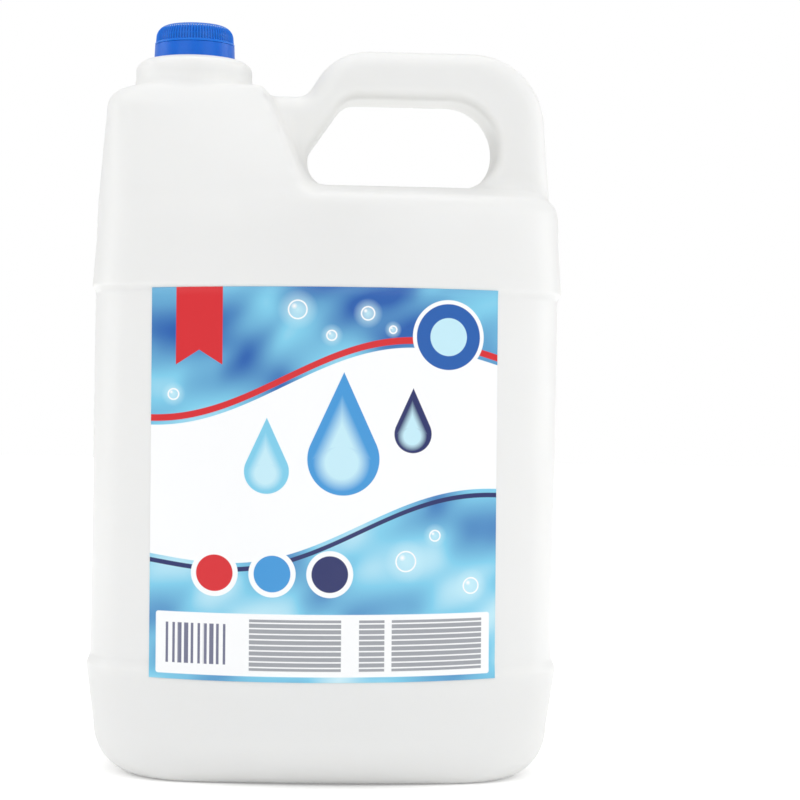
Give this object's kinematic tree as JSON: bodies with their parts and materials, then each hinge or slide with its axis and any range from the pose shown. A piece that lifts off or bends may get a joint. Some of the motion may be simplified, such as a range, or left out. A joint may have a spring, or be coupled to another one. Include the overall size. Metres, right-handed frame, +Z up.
{
  "type": "bleach bottle",
  "caption": "Large white blow-moulded jug of bleach with a built-in side handle, a front label and a ribbed blue screw cap on an offset neck.",
  "frame": {"origin": "middle of the base, on the surface that the jug stands on", "axes": "+Z up, +X along the width from the neck side to the handle side, the labelled face looks along -Y"},
  "size_m": [0.2324, 0.1783, 0.3724],
  "materials": {
    "jug": "satin",
    "liquid": "clear liquid",
    "label": "printed film",
    "closure": "satin",
    "liner": "matte"
  },
  "bodies": {
    "bottle": {"jug_body": "jug", "jug_tower": "jug", "jug_neck": "jug", "jug_handle": "jug", "bleach_fill": "liquid", "front_label": "label", "tamper_band": "closure"},
    "liner": {"cap_liner": "liner"},
    "cap": {"screw_cap": "closure"}
  },
  "joints": [
    {"name": "cap_lift", "type": "slide", "parent": "bottle", "child": "liner", "axis": [0, 0, 1], "range_m": [0, 0.0107]},
    {"name": "cap_turn", "type": "hinge", "parent": "liner", "child": "cap", "pos_m": [-0.0682, 0, 0.369], "axis": [0, 0, 1], "range_deg": [0, 900]}
  ],
  "couplings": [
    {"joint": "cap_lift", "follows": "cap_turn", "m_per_rad": 0.0006737}
  ]
}
